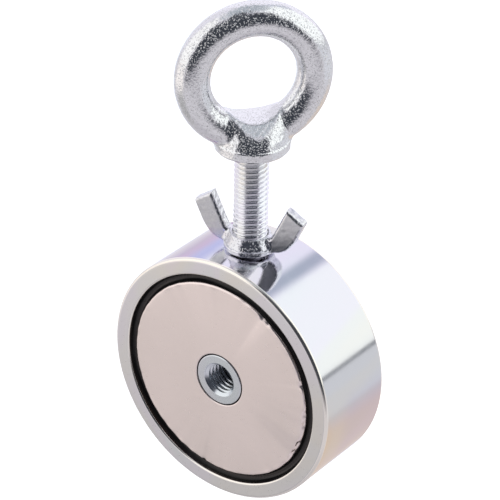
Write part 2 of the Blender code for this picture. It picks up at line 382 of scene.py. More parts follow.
def draw_to_form(mesh, distance):
    """Moves every vertex on to the form and gives the mesh the form's own normals."""
    rounds = 7
    most = 0.0004  # the longest move in a round
    points = read_points(mesh)
    for _ in range(rounds):
        away = distance(points)
        way = slope(distance, points)
        size = np.maximum((way * way).sum(axis=1), 0.05)
        step = (away / size)[:, None] * way
        reach = np.linalg.norm(step, axis=1, keepdims=True)
        points -= step * np.minimum(1.0, most / np.maximum(reach, 1e-12))
    way = slope(distance, points)
    way /= np.linalg.norm(way, axis=1, keepdims=True)
    mesh.vertices.foreach_set("co", points.astype(np.float32).ravel())
    mesh.update()
    mesh.shade_smooth()
    mesh.normals_split_custom_set_from_vertices(way.tolist())


def skinned(bm, name, voxel):
    """One even closed skin round the shells of a bmesh."""
    item = scratch_object(name, bm)
    remesh = item.modifiers.new("Skin", "REMESH")
    remesh.mode = "VOXEL"
    remesh.voxel_size = voxel
    remesh.use_smooth_shade = True
    return settled_mesh(item)


def die_marks(points, height, longest, seed):
    """Low soft unevenness of a forged or cast skin, as a sum of plane waves."""
    draw = np.random.default_rng(seed)
    total = np.zeros(len(points))
    waves = 18
    for _ in range(waves):
        way = draw.normal(size=3)
        way /= np.linalg.norm(way)
        wave_length = longest * draw.uniform(0.35, 1.0)
        total += np.sin(points @ way * math.tau / wave_length + draw.uniform(0, math.tau))
    return total * height / math.sqrt(waves)


# Materials

FILM_REACH = 0.024  # the violet and blue film runs this far to the bolt's left
STRAW_REACH = 0.011  # the straw tint changes over this much to each side of the pot's middle
STRAW_FADE = 0.008  # the straw tint starts this far above the pot's centre
PAINTED_SHADE_DEPTH = (0.0030, 0.0090)  # painted shade: the bush's thread darkens between these depths, for the shade deep in its bore
RESIN_INDEX = 1.36  # refractive index


def shaded(shade, share):
    return tuple(channel * share for channel in shade)


def opaque(shade):
    """A shade with its alpha, or a socket as it is."""
    return (*shade, 1.0) if isinstance(shade, tuple) else shade


class Tree:
    """Short calls for the nodes that materials and the surroundings share."""

    def __init__(self, tree):
        self.tree = tree

    def add(self, kind, inputs, **settings):
        """A new node, its inputs given by the number or name of their sockets."""
        node = self.tree.nodes.new(kind)
        for key, value in settings.items():
            setattr(node, key, value)
        self.join(node, inputs)
        return node

    def join(self, node, inputs):
        for socket, value in inputs.items():
            target = node.inputs[socket]
            if isinstance(value, bpy.types.NodeSocket):
                self.tree.links.new(value, target)
            else:
                target.default_value = value

    def maths(self, operation, first, second=0.0):
        return self.add("ShaderNodeMath", {0: first, 1: second}, operation=operation).outputs[0]

    def split(self, vector):
        return self.add("ShaderNodeSeparateXYZ", {0: vector}).outputs


class Nodes(Tree):
    """A material's node tree. Its place is the piece's own coordinates, in metres."""

    def __init__(self, name):
        self.material = bpy.data.materials.new(name)
        self.material.use_nodes = True
        super().__init__(self.material.node_tree)
        self.shader = self.tree.nodes["Principled BSDF"]
        self.place = self.add("ShaderNodeTexCoord", {}).outputs["Object"]

    def moved(self, offset, scale=(1.0, 1.0, 1.0)):
        inputs = {"Vector": self.place, "Location": offset, "Scale": scale}
        return self.add("ShaderNodeMapping", inputs).outputs[0]

    def noise(self, vector, scale, detail=3.0, roughness=0.55, distortion=0.0):
        inputs = {"Vector": vector, "Scale": scale, "Detail": detail, "Roughness": roughness}
        inputs["Distortion"] = distortion
        return self.add("ShaderNodeTexNoise", inputs).outputs["Fac"]

    def line_noise(self, value, scale):
        inputs = {"W": value, "Scale": scale, "Detail": 4.0, "Roughness": 0.7}
        return self.add("ShaderNodeTexNoise", inputs, noise_dimensions="1D").outputs["Fac"]

    def spread(self, value, low, high, to_low, to_high):
        inputs = dict(enumerate((value, low, high, to_low, to_high)))
        return self.add("ShaderNodeMapRange", inputs, clamp=True).outputs[0]

    def ramp(self, value, stops):
        node = self.add("ShaderNodeValToRGB", {0: value})
        node.color_ramp.interpolation = "EASE"
        elements = node.color_ramp.elements
        while len(elements) < len(stops):
            elements.new(0.5)
        for element, (position, shade) in zip(elements, stops):
            element.position = position
            element.color = (*shade, 1.0)
        return node.outputs[0]

    def mixed(self, factor, first, second, blend="MIX"):
        inputs = {0: factor, 6: opaque(first), 7: opaque(second)}
        return self.add("ShaderNodeMix", inputs, data_type="RGBA", blend_type=blend).outputs[2]

    def bump(self, height, strength, distance, below=None):
        inputs = {"Height": height, "Strength": strength, "Distance": distance}
        if below:
            inputs["Normal"] = below
        return self.add("ShaderNodeBump", inputs).outputs[0]

    def finish(self, base, roughness, normal=None, metallic=1.0):
        inputs = {"Base Color": opaque(base), "Roughness": roughness, "Metallic": metallic}
        if normal:
            inputs["Normal"] = normal
        self.join(self.shader, inputs)
        return self.material

    def glow(self, strength):
        self.join(self.shader, {"Emission Color": opaque((1.0, 1.0, 1.0)), "Emission Strength": strength})


def pot_place(nodes):
    """The distance from the pot's axis and the distance along it from its middle."""
    x, along, z = nodes.split(nodes.moved(tuple(-value for value in POT_CENTRE)))
    square = [nodes.maths("MULTIPLY", value, value) for value in (x, z)]
    return nodes.maths("SQRT", nodes.maths("ADD", *square)), along


def tool_marks(nodes, scale):
    """Fine circles on every turned surface of the pot and the bush."""
    return nodes.line_noise(nodes.maths("ADD", *pot_place(nodes)), scale)


def tinted_zinc(nodes, base, strength, offset=(0.0, 0.0, 0.0)):
    """Bright zinc with the soft blue, violet and straw clouds of its passivation."""
    cloud = nodes.noise(nodes.moved(offset, (1.0, 0.45, 1.0)), 38.0, 1.5, 0.45, 0.6)
    tint = nodes.ramp(
        cloud,
        [
            (0.30, (0.93, 1.0, 1.07)),
            (0.42, (1.0, 0.96, 1.10)),
            (0.50, (1.0, 1.0, 1.0)),
            (0.60, (1.05, 1.01, 0.93)),
            (0.70, (1.06, 0.96, 1.02)),
        ],
    )
    return nodes.mixed(strength, base, nodes.mixed(1.0, base, tint, "MULTIPLY"))


def turned_zinc(settings):
    """The pot's side: turning marks, a violet and blue film to the bolt's left and straw below."""
    nodes = Nodes("turned_zinc")
    lines = tool_marks(nodes, 5200.0)
    smear = nodes.noise(nodes.place, 240.0, 4.0)
    base = tinted_zinc(nodes, tuple(settings.zinc), 0.6)
    x, y, z = nodes.split(nodes.place)
    drift = nodes.maths("MULTIPLY", nodes.noise(nodes.place, 110.0, 2.0), 0.004)
    film = nodes.ramp(
        nodes.spread(nodes.maths("ADD", x, drift), -FILM_REACH, 0.0, 0.0, 1.0),
        [
            (0.10, (1.0, 1.0, 1.0)),
            (0.42, (0.70, 0.54, 0.60)),
            (0.62, (0.64, 0.50, 0.71)),
            (0.76, (0.57, 0.60, 0.91)),
            (0.95, (1.0, 1.0, 1.0)),
        ],
    )
    base = nodes.mixed(1.0, base, film, "MULTIPLY")
    straw = nodes.ramp(
        nodes.spread(nodes.maths("ADD", y, drift), -STRAW_REACH, STRAW_REACH, 0.0, 1.0),
        [(0.05, (1.05, 0.95, 0.82)), (0.30, (1.0, 0.97, 0.95)), (0.60, (0.93, 0.90, 1.0))],
    )
    start = POT_CENTRE[2] + STRAW_FADE
    low = nodes.spread(nodes.maths("ADD", z, drift), start, POT_CENTRE[2], 0.0, 1.0)
    base = nodes.mixed(low, base, nodes.mixed(1.0, base, straw, "MULTIPLY"))
    rough = nodes.maths(
        "ADD", nodes.spread(smear, 0.3, 0.7, 0.06, 0.11), nodes.spread(lines, 0.35, 0.65, 0.0, 0.03)
    )
    normal = nodes.bump(lines, 0.06, 0.00002)
    normal = nodes.bump(nodes.noise(nodes.place, 900.0, 3.0), 0.03, 0.00004, normal)
    return nodes.finish(base, rough, normal)


def ground_rim(settings):
    """The rim's flat faces, ground in fine circles."""
    nodes = Nodes("ground_rim")
    lines = tool_marks(nodes, 8000.0)
    grit = nodes.noise(nodes.place, 1600.0, 5.0, 0.7)
    base = tinted_zinc(nodes, tuple(settings.rim), 0.45, (0.01, 0.0, 0.02))
    rough = nodes.spread(grit, 0.3, 0.7, 0.26, 0.38)
    normal = nodes.bump(lines, 0.10, 0.00002)
    normal = nodes.bump(grit, 0.06, 0.00003, normal)
    return nodes.finish(base, rough, normal)


def edge_painted_highlight():
    """The rim's rounded edges, rubbed smoother, in a bright cream that paints on their highlight."""
    nodes = Nodes("edge_painted_highlight")
    lines = tool_marks(nodes, 9000.0)
    rough = nodes.spread(lines, 0.3, 0.7, 0.10, 0.20)
    # painted highlight: a cream base brighter than the rim's
    return nodes.finish((0.97, 0.93, 0.86), rough, nodes.bump(lines, 0.08, 0.00002))


def nickel_plate(settings):
    """The magnets' satin plating, with faint clouds and a fine level grain."""
    nodes = Nodes("nickel_plate")
    cloud = nodes.noise(nodes.place, 45.0, 2.0)
    grain = nodes.noise(nodes.moved((0.0, 0.0, 0.0), (1.0, 1.0, 6.0)), 700.0, 4.0)
    clouded = tuple(channel * shade for channel, shade in zip(settings.nickel, (0.95, 0.955, 0.95)))
    base = nodes.mixed(nodes.spread(cloud, 0.35, 0.65, 0.0, 1.0), tuple(settings.nickel), clouded)
    rough = nodes.spread(grain, 0.3, 0.7, 0.27, 0.36)
    normal = nodes.bump(grain, 0.05, 0.00003)
    return nodes.finish(base, rough, normal)


def potting_resin(settings):
    """Rippled black resin with painted shade and light: darker towards both walls of its groove, with a
    warm lighter band along the middle.
    """
    nodes = Nodes("potting_resin")
    ripple = nodes.noise(nodes.place, 160.0, 2.0)
    speck = nodes.noise(nodes.place, 1500.0, 3.0)
    width = RECESS - MAGNET_RADIUS
    off_middle = nodes.maths("SUBTRACT", pot_place(nodes)[0], MAGNET_RADIUS + width * 0.5)
    off_middle = nodes.maths("ABSOLUTE", off_middle)
    # painted shade at the groove's walls and a painted lighter band along its middle
    painted_middle_light = nodes.spread(off_middle, width * 0.12, width * 0.32, 1.0, 0.0)
    painted_middle_light = nodes.maths("MULTIPLY", painted_middle_light, nodes.spread(speck, 0.3, 0.6, 0.6, 1.0))
    base = nodes.mixed(painted_middle_light, tuple(settings.resin), (0.050, 0.039, 0.038))
    rough = nodes.spread(ripple, 0.3, 0.7, 0.20, 0.34)
    normal = nodes.bump(ripple, 0.35, 0.0004)
    normal = nodes.bump(speck, 0.10, 0.00005, normal)
    material = nodes.finish(base, rough, normal, 0.0)
    nodes.join(nodes.shader, {"IOR": RESIN_INDEX})
    return material


def hidden_glue(settings):
    """The beds of glue behind the magnets."""
    nodes = Nodes("hidden_glue")
    speck = nodes.noise(nodes.place, 800.0, 3.0)
    base = nodes.mixed(speck, tuple(settings.resin), (0.05, 0.05, 0.05))
    rough = nodes.spread(speck, 0.3, 0.7, 0.45, 0.6)
    return nodes.finish(base, rough, nodes.bump(speck, 0.2, 0.0001), 0.0)


def bush_zinc(settings):
    """Turned steel with painted shade that darkens it down the thread, deep in the bore."""
    nodes = Nodes("bush_zinc")
    lines = tool_marks(nodes, 9000.0)
    base = tinted_zinc(nodes, tuple(settings.steel), 0.4, (0.0, 0.01, 0.0))
    depth = nodes.maths("SUBTRACT", BUSH_HALF, nodes.maths("ABSOLUTE", nodes.split(nodes.place)[1]))
    # painted shade: darker the deeper the thread runs into the bore
    painted_shade = nodes.spread(depth, *PAINTED_SHADE_DEPTH, 0.0, 0.85)
    base = nodes.mixed(painted_shade, base, (0.03, 0.03, 0.035))
    rough = nodes.spread(lines, 0.3, 0.7, 0.16, 0.28)
    return nodes.finish(base, rough, nodes.bump(lines, 0.14, 0.00003))


def forged_zinc(settings):
    """Bright zinc over a forged skin: broad waves, pebbling, sharp specks and a fine grain."""
    nodes = Nodes("forged_zinc")
    pebble = nodes.noise(nodes.place, 1900.0, 2.0, 0.5)
    fine = nodes.noise(nodes.place, 4200.0, 2.0, 0.5)
    broad = nodes.noise(nodes.place, 420.0, 1.0, 0.5)
    mix = nodes.spread(pebble, 0.3, 0.6, 0.0, 1.0)
    base = nodes.mixed(mix, shaded(settings.steel, 0.93), tuple(settings.steel))
    rough = nodes.spread(fine, 0.3, 0.7, 0.09, 0.16)
    normal = nodes.bump(broad, 0.6, 0.00006)
    normal = nodes.bump(pebble, 1.0, 0.00005, normal)
    specks = nodes.spread(nodes.noise(nodes.place, 3200.0, 1.5, 0.4), 0.59, 0.71, 0.0, 1.0)
    normal = nodes.bump(specks, 1.0, 0.00007, normal)
    normal = nodes.bump(fine, 0.8, 0.00001, normal)
    return nodes.finish(base, rough, normal)


def rolled_thread(settings):
    """The shank's zinc, lightly smeared."""
    nodes = Nodes("rolled_thread")
    smear = nodes.noise(nodes.place, 700.0, 4.0)
    base = tinted_zinc(nodes, tuple(settings.steel), 0.3)
    rough = nodes.spread(smear, 0.3, 0.7, 0.15, 0.25)
    return nodes.finish(base, rough, nodes.bump(smear, 0.12, 0.00004))


def nut_zinc(settings):
    """The nut's plated casting skin: smears and raised specks."""
    nodes = Nodes("nut_zinc")
    smear = nodes.noise(nodes.place, 500.0, 3.0)
    base = tinted_zinc(nodes, tuple(settings.steel), 0.3, (0.02, 0.0, 0.0))
    rough = nodes.spread(smear, 0.3, 0.7, 0.10, 0.18)
    normal = nodes.bump(smear, 0.3, 0.00006)
    specks = nodes.spread(nodes.noise(nodes.place, 2600.0, 1.0, 0.4), 0.57, 0.70, 0.0, 1.0)
    normal = nodes.bump(specks, 0.9, 0.00006, normal)
    return nodes.finish(base, rough, normal)


def grained_wing(settings):
    """The flat sides of the wings, duller and finely grained."""
    nodes = Nodes("grained_wing")
    grain = nodes.noise(nodes.place, 2600.0, 4.0, 0.65)
    coarse = nodes.noise(nodes.place, 700.0, 2.0)
    mix = nodes.spread(grain, 0.35, 0.65, 0.0, 1.0)
    base = nodes.mixed(mix, shaded(settings.steel, 0.84), shaded(settings.steel, 0.97))
    rough = nodes.spread(coarse, 0.3, 0.7, 0.27, 0.36)
    normal = nodes.bump(grain, 0.35, 0.00006)
    return nodes.finish(base, rough, normal)


# Pieces


def build_pot(settings):
    """The pot: rim, recesses and web spun in one profile, then drilled from the side."""
    edge = settings.edge_round
    side_loops = 10
    bore = BUSH_RADIUS + MERGE * 20
    upper = [
        (RECESS, WEB_HALF, 0.0),
        (RECESS, POT_HALF, edge * 0.5),
        (POT_RADIUS, POT_HALF, edge),
    ]
    lower = [(x, -y, size) for x, y, size in reversed(upper)]
    reach = POT_HALF - edge - 2 * SUPPORT
    side = [
        (POT_RADIUS, reach * (1.0 - 2.0 * step / side_loops), 0.0) for step in range(1, side_loops)
    ]
    corners = [(bore, -WEB_HALF, 0.0), (bore, WEB_HALF, 0.0), *upper, *side, *lower]
    blank = spun(rounded(corners), 288)
    lay_in_pot(blank)
    hole = settings.hole_radius
    chamfer = 0.0004
    above = 0.002
    bottom = SHANK_END - BEYOND
    drill = [
        (0.0, POT_TOP + above),
        (hole + chamfer + above, POT_TOP + above),
        (hole, POT_TOP - chamfer),
        (hole, bottom),
        (0.0, bottom - hole * 0.6),
    ]
    mesh = boolean_mesh("pot_housing", blank, spun(drill, 96, closed=False), "DIFFERENCE")
    # the third finish, on the rounded edges, carries a painted highlight
    finishes = [turned_zinc(settings), ground_rim(settings), edge_painted_highlight()]
    place("pot_housing", mesh, "magnet", ["housing"], finishes)
    for face in mesh.polygons:
        depth = POT_HALF - abs(face.center[1])
        if depth < edge * 0.02:
            face.material_index = 1
        elif depth < edge * 0.9:
            face.material_index = 2


def waves_round(seed, fewest, most, number):
    """A sum of waves round a circle, as a function of the angle."""
    draw = np.random.default_rng(seed)
    waves = [(draw.integers(fewest, most), draw.uniform(0, math.tau)) for _ in range(number)]
    return lambda angle: sum(math.sin(count * angle + phase) for count, phase in waves)


def chipped(bm, radius, face, side):
    """Wears the magnet's outer edge unevenly, with a few small chips in its brittle rim."""
    waves = waves_round(11 if side > 0 else 29, 5, 60, 10)
    wave_height = 0.000012
    reach = 0.0009
    chips = [
        # angle, half width as an angle, depth
        (-0.07, 0.13, 0.00050),
        (-0.40, 0.13, 0.00062),
        (0.33, 0.03, 0.00030),
        (1.03, 0.06, 0.00040),
        (-1.74, 0.02, 0.00030),
    ]
    for vert in bm.verts:
        x, y, z = vert.co
        spoke = math.hypot(x, y)
        near = max(0.0, 1.0 - (radius - spoke) / reach) * max(0.0, 1.0 - (face - z) / reach)
        if near <= 0.0:
            continue
        angle = math.atan2(y, x)
        wear = waves(angle) * wave_height
        for where, width, depth in chips:
            away = (angle - where) / width
            rough_edge = 1.0 + 0.25 * math.sin(angle * 47.0 + where)
            wear += depth * math.exp(-(away**4)) * rough_edge
        vert.co.z -= wear * near * 0.8
        vert.co.x -= x / spoke * wear * near
        vert.co.y -= y / spoke * wear * near


def build_magnet(name, node, side, settings, material):
    """A ring magnet with rounded edges and a slightly worn outer rim."""
    hole = BUSH_RADIUS + settings.hole_gap
    edge = settings.edge_round
    corners = [
        (hole, MAGNET_BACK, 0.0),
        (hole, MAGNET_FACE, edge * 0.5),
        (MAGNET_RADIUS - 0.0012, MAGNET_FACE, 0.0),
        (MAGNET_RADIUS - 0.0008, MAGNET_FACE, 0.0),
        (MAGNET_RADIUS, MAGNET_FACE, edge),
        (MAGNET_RADIUS, MAGNET_FACE - 0.001, 0.0),
        (MAGNET_RADIUS, MAGNET_BACK, 0.0),
    ]
    bm = spun(rounded(corners), 540)
    chipped(bm, MAGNET_RADIUS, MAGNET_FACE, side)
    lay_in_pot(bm, side)
    place(name, mesh_from(name, bm), "magnet", [node], [material])


def build_resin(name, node, side, walls, levels, material):
    """Poured resin that climbs a little up both walls of its groove and sags between them. Its
    levels are its depth below the magnet's face and its sag."""
    inner, outer = walls
    sink, dip = levels
    top = MAGNET_FACE - sink
    across = 10
    surface = []
    for step in range(across + 1):
        share = step / across
        climb = abs(2.0 * share - 1.0) ** 3
        surface.append((inner + (outer - inner) * share, top - dip * (1.0 - climb)))
    corners = [(outer, WEB_HALF), (inner, WEB_HALF), *surface]
    bm = spun(corners, 240)
    waves = waves_round(5 if side > 0 else 6, 2, 14, 6)
    for vert in bm.verts:
        if vert.co.z > top - dip * 1.5:
            vert.co.z += waves(math.atan2(vert.co.y, vert.co.x)) * dip * 0.06
    lay_in_pot(bm, side)
    place(name, mesh_from(name, bm), "magnet", [node], [material])


def build_bush(settings, pitch):
    """The bush: a turned sleeve with a countersunk mouth at each end and an internal thread."""
    edge = 0.00022
    upper = [
        (settings.bore - 0.0002, BUSH_HALF - (settings.mouth - settings.bore), 0.0),
        (settings.mouth, BUSH_HALF, 0.00006),
        (BUSH_RADIUS, BUSH_HALF, edge),
    ]
    lower = [(x, -y, size) for x, y, size in reversed(upper)]
    reach = BUSH_HALF + BEYOND
    tap = threaded_rod(settings.groove, settings.bore, pitch, -reach, reach, rolled=False)
    blank = spun(rounded(upper + lower), 160)
    mesh = boolean_mesh("centre_bush_threaded", blank, tap, "DIFFERENCE")
    mesh.transform(Matrix.Translation(POT_CENTRE) @ Matrix.Rotation(math.radians(90.0), 4, "X"))
    place("centre_bush_threaded", mesh, "magnet", ["centre_bush"], [bush_zinc(settings)])


def neck_outline(settings):
    """Half of the neck and collar seen from the side, less the rounding of its edges: a steep neck
    over the collar's upright edge."""
    under = -settings.collar_drop + EDGE
    top = -settings.collar_drop + settings.collar_height - EDGE
    wide = settings.collar_radius - EDGE
    return [
        (-BEYOND, under),
        (wide, under),
        (wide, top),
        (wide - 0.0003, top + 0.0003),
        (wide - 0.0007, top + 0.0018),
        (wide - 0.0012, top + 0.0030),
        (wide - 0.0018, top + 0.0045),
        (wide - 0.0026, top + 0.0070),
        (-BEYOND, top + 0.0070),
    ]


def forging_distance(settings):
    """The forging's form: ring, neck and collar run together, with sloping shoulders to both sides
    of the ring, the eye's hole kept clear and the collar's underside flat."""
    ring, section = settings.ring_radius, settings.section
    plane = settings.ring_turn
    outline = neck_outline(settings)
    shoulder_slope = math.radians(50.0)
    shoulder_reach = 0.0038
    hole_gap = 0.0001

    def distance(points):
        x, y, z = points.T
        along = x * math.cos(plane) + y * math.sin(plane)
        across = x * math.sin(plane) - y * math.cos(plane)
        spoke = np.hypot(along, z)
        loop = np.hypot(spoke - ring, across) - section
        turned = outline_distance(np.hypot(x, y), z, outline) - EDGE
        roof = (np.abs(across) - shoulder_reach) * math.cos(shoulder_slope)
        roof += (z + ring - section) * math.sin(shoulder_slope)
        turned = soft_max(turned, roof, 0.0008)
        turned = soft_max(turned, ring - section + hole_gap - spoke, 0.0005)
        whole = soft_min(loop, turned, 0.0013)
        whole = soft_max(whole, -settings.collar_drop - z, 0.00025)
        return whole + die_marks(points, 0.000010, 0.003, 3)

    return distance


def build_forging(settings):
    """The forging: ring and collar skinned together, drawn to the finished form."""
    ring = settings.ring_radius
    bm = bmesh.new()
    section = bmesh.ops.create_circle(bm, segments=48, radius=settings.section)
    bmesh.ops.translate(bm, verts=section["verts"], vec=(ring, 0.0, 0.0))
    edges = list({edge for vert in section["verts"] for edge in vert.link_edges})
    bmesh.ops.rotate(
        bm,
        verts=section["verts"],
        cent=(ring, 0.0, 0.0),
        matrix=Matrix.Rotation(math.radians(90.0), 3, "X"),
    )
    bmesh.ops.spin(
        bm,
        geom=section["verts"] + edges,
        axis=(0.0, 0.0, 1.0),
        angle=math.tau,
        steps=144,
        use_merge=True,
    )
    bmesh.ops.rotate(
        bm,
        verts=bm.verts,
        matrix=Matrix.Rotation(settings.ring_turn, 3, "Z") @ Matrix.Rotation(math.radians(90.0), 3, "X"),
    )
    bmesh.ops.recalc_face_normals(bm, faces=bm.faces)
    outline = neck_outline(settings)
    foot = (0.0, -settings.collar_drop)
    blank = [(0.0, outline[-1][1]), *reversed(outline[2:-1]), (outline[1][0], foot[1]), foot]
    collar = mesh_from("collar_blank", spun(blank, 96, closed=False))
    bm.from_mesh(collar)
    bpy.data.meshes.remove(collar)
    mesh = skinned(bm, "eye_bolt_forging", FORGING_VOXEL)
    draw_to_form(mesh, forging_distance(settings))
    skin = [forged_zinc(settings)]
    place("eye_bolt_forging", mesh, "eye_bolt", ["eye_bolt"], skin, crease=None)


def build_shank(settings):
    """The shank: a rolled thread from just under the collar to a chamfered end."""
    top = -settings.collar_drop - 0.00002
    low, high = SHANK_END - BEYOND / 2, -settings.collar_drop + BEYOND / 2
    rod = threaded_rod(settings.crest, settings.root, settings.pitch, low, high)
    chamfer = 0.0009
    outside = settings.crest + 0.0003
    blank = [
        (0.0, top),
        (outside, top),
        (outside, SHANK_END + chamfer),
        (outside - chamfer, SHANK_END),
        (0.0, SHANK_END),
    ]
    mesh = boolean_mesh("eye_bolt_shank", rod, spun(blank, 96, closed=False), "INTERSECT")
    place("eye_bolt_shank", mesh, "eye_bolt", ["eye_bolt"], [rolled_thread(settings)])


def arc(x, y, radius, first, last, steps):
    """Points anticlockwise along an arc about (x, y), its angles in degrees from +X."""
    angles = [math.radians(first + (last - first) * step / steps) for step in range(steps + 1)]
    return [(x + radius * math.cos(angle), y + radius * math.sin(angle)) for angle in angles]


def wing_corners(settings):
    """Half of the nut seen from the side: the wing's outline as (distance from axis, height)."""
    reach = (NUT_HIGH[0] - NUT_LOW[0]) / 2 / math.cos(settings.nut_turn)
    reach -= math.tan(settings.nut_turn) * settings.thickness / 2
    return [
        (0.0045, 0.0003),
        *arc(reach - 0.0074, 0.0051, 0.0048, -90.0, -45.0, 4),
        *arc(reach - 0.0110, 0.0089, 0.0100, -43.0, -23.0, 3),
        *arc(reach - 0.0010, NUT_HEIGHT - 0.0032, 0.0008, -23.0, 55.0, 3),
        (reach - 0.0043, NUT_HEIGHT - 0.0001),
        (0.0062, 0.0052),
        (0.0056, 0.0040),
        (0.0045, 0.0031),
    ]


def nut_distance(settings, bolt):
    """The nut's form: a flanged hub with two wings run into it and the thread cut through."""
    outline = wing_corners(settings)
    plane = settings.nut_turn
    foot = settings.base_radius - EDGE
    flange = 0.0012 - EDGE
    hub = [
        (-BEYOND, EDGE),
        (foot, EDGE),
        (foot, flange),
        (foot - 0.0003, flange),
        (0.0050 - EDGE, 0.0023),
        (0.0046 - EDGE, settings.hub_height - EDGE),
        (-BEYOND, settings.hub_height - EDGE),
    ]
    round_off = 0.00075
    half = settings.thickness / 2 - round_off
    inner_crest = bolt.root + 0.0002
    depth = bolt.crest - bolt.root
    crest_share, flank_share = 0.12, 0.72
    mouth_radius = 0.0042

    def distance(points):
        x, y, z = points.T
        height = z - NUT_BASE
        along = np.abs(x * math.cos(plane) + y * math.sin(plane))
        across = np.abs(x * math.sin(plane) - y * math.cos(plane))
        radius = np.hypot(x, y)
        body = outline_distance(radius, height, hub) - EDGE
        flat = outline_distance(along, height, outline) + round_off
        out = np.hypot(np.maximum(flat, 0.0), np.maximum(across - half, 0.0))
        wing = np.minimum(np.maximum(flat, across - half), 0.0) + out - round_off
        whole = soft_min(body, wing, 0.0010)
        phase = z / bolt.pitch - np.arctan2(y, x) / math.tau
        tooth = np.abs(phase - np.round(phase)) * 2.0
        bore = inner_crest + depth * np.clip(1.0 - (tooth - crest_share) / flank_share, 0.0, 1.0)
        mouth = mouth_radius - np.maximum(np.minimum(height, settings.hub_height - height), 0.0)
        whole += die_marks(points, 0.000016, 0.0028, 8)
        return soft_max(whole, np.maximum(bore, mouth) - radius, 0.00012)

    return distance


def build_nut(settings, bolt):
    """The wing nut: hub and wings skinned together, drawn to the finished form."""
    outline = wing_corners(settings)
    bore = bolt.crest - 0.0002
    hub = [
        (bore, settings.hub_height),
        (bore, 0.0),
        (settings.base_radius, 0.0),
        (settings.base_radius, 0.0010),
        (0.0047, settings.hub_height),
    ]
    bm = spun(hub, 96)
    for way in (1.0, -1.0):
        verts = [bm.verts.new((way * x, -settings.thickness / 2, y)) for x, y in outline]
        face = bm.faces.new(verts)
        grown = bmesh.ops.extrude_face_region(bm, geom=[face], use_keep_orig=True)
        moved = [item for item in grown["geom"] if isinstance(item, bmesh.types.BMVert)]
        bmesh.ops.translate(bm, verts=moved, vec=(0.0, settings.thickness, 0.0))
    bmesh.ops.recalc_face_normals(bm, faces=bm.faces)
    bmesh.ops.rotate(bm, verts=bm.verts, matrix=Matrix.Rotation(settings.nut_turn, 3, "Z"))
    bmesh.ops.translate(bm, verts=bm.verts, vec=(0.0, 0.0, NUT_BASE))
    mesh = skinned(bm, "wing_nut_body", NUT_VOXEL)
    draw_to_form(mesh, nut_distance(settings, bolt))
    skins = [nut_zinc(settings), grained_wing(settings)]
    place("wing_nut_body", mesh, "wing_nut", ["wing_nut"], skins, crease=None)
    across = Vector((math.sin(settings.nut_turn), -math.cos(settings.nut_turn), 0.0))
    along = Vector((math.cos(settings.nut_turn), math.sin(settings.nut_turn), 0.0))
    for face in mesh.polygons:
        on_side = abs(face.center.dot(across)) > settings.thickness / 2 - 0.00006
        past_hub = abs(face.center.dot(along)) > 0.0060
        face.material_index = 1 if on_side and past_hub else 0


# Stage


class Sky(Tree):
    """The surroundings' tree: panels of light laid over one another by heading and height."""

    def __init__(self, world):
        world.use_nodes = True
        super().__init__(world.node_tree)
        self.x, self.y, z = self.split(self.add("ShaderNodeTexCoord", {}).outputs["Generated"])
        self.height = self.maths("ARCSINE", z)
        across = self.maths("SUBTRACT", 1.0, self.maths("MULTIPLY", z, z))
        self.level = self.maths("SQRT", self.maths("MAXIMUM", across, 0.0001))
        self.light = None

    def within(self, value, low, high, soft):
        """One between low and high, falling to nothing over a soft edge that is centred on each."""
        middle, half = (low + high) / 2, (high - low) / 2
        away = self.maths("ABSOLUTE", self.maths("SUBTRACT", value, math.radians(middle)))
        start, end = math.radians(half - soft / 2), math.radians(half + soft / 2)
        inputs = dict(enumerate((away, start, end, 1.0, 0.0)))
        return self.add("ShaderNodeMapRange", inputs, interpolation_type="SMOOTHSTEP").outputs[0]

    def panel(self, left, right, low, high, shade, soft):
        """Lays a panel over the rest. Headings run from the front (0) past the right (90)."""
        inside = self.within(self.height, low, high, min(soft, abs(high - low)))
        if right - left < 360.0:
            middle = math.radians((left + right) / 2)
            across = self.maths("MULTIPLY", self.x, math.sin(middle))
            ahead = self.maths("MULTIPLY", self.y, -math.cos(middle))
            toward = self.maths("DIVIDE", self.maths("ADD", across, ahead), self.level)
            toward = self.maths("MINIMUM", self.maths("MAXIMUM", toward, -1.0), 1.0)
            away = self.maths("ARCCOSINE", toward)
            half = (right - left) / 2
            inside = self.maths("MULTIPLY", inside, self.within(away, -half, half, soft))
        inputs = {0: inside, 7: opaque(shade)}
        if self.light:
            inputs[6] = self.light
        self.light = self.add("ShaderNodeMix", inputs, data_type="RGBA").outputs[2]


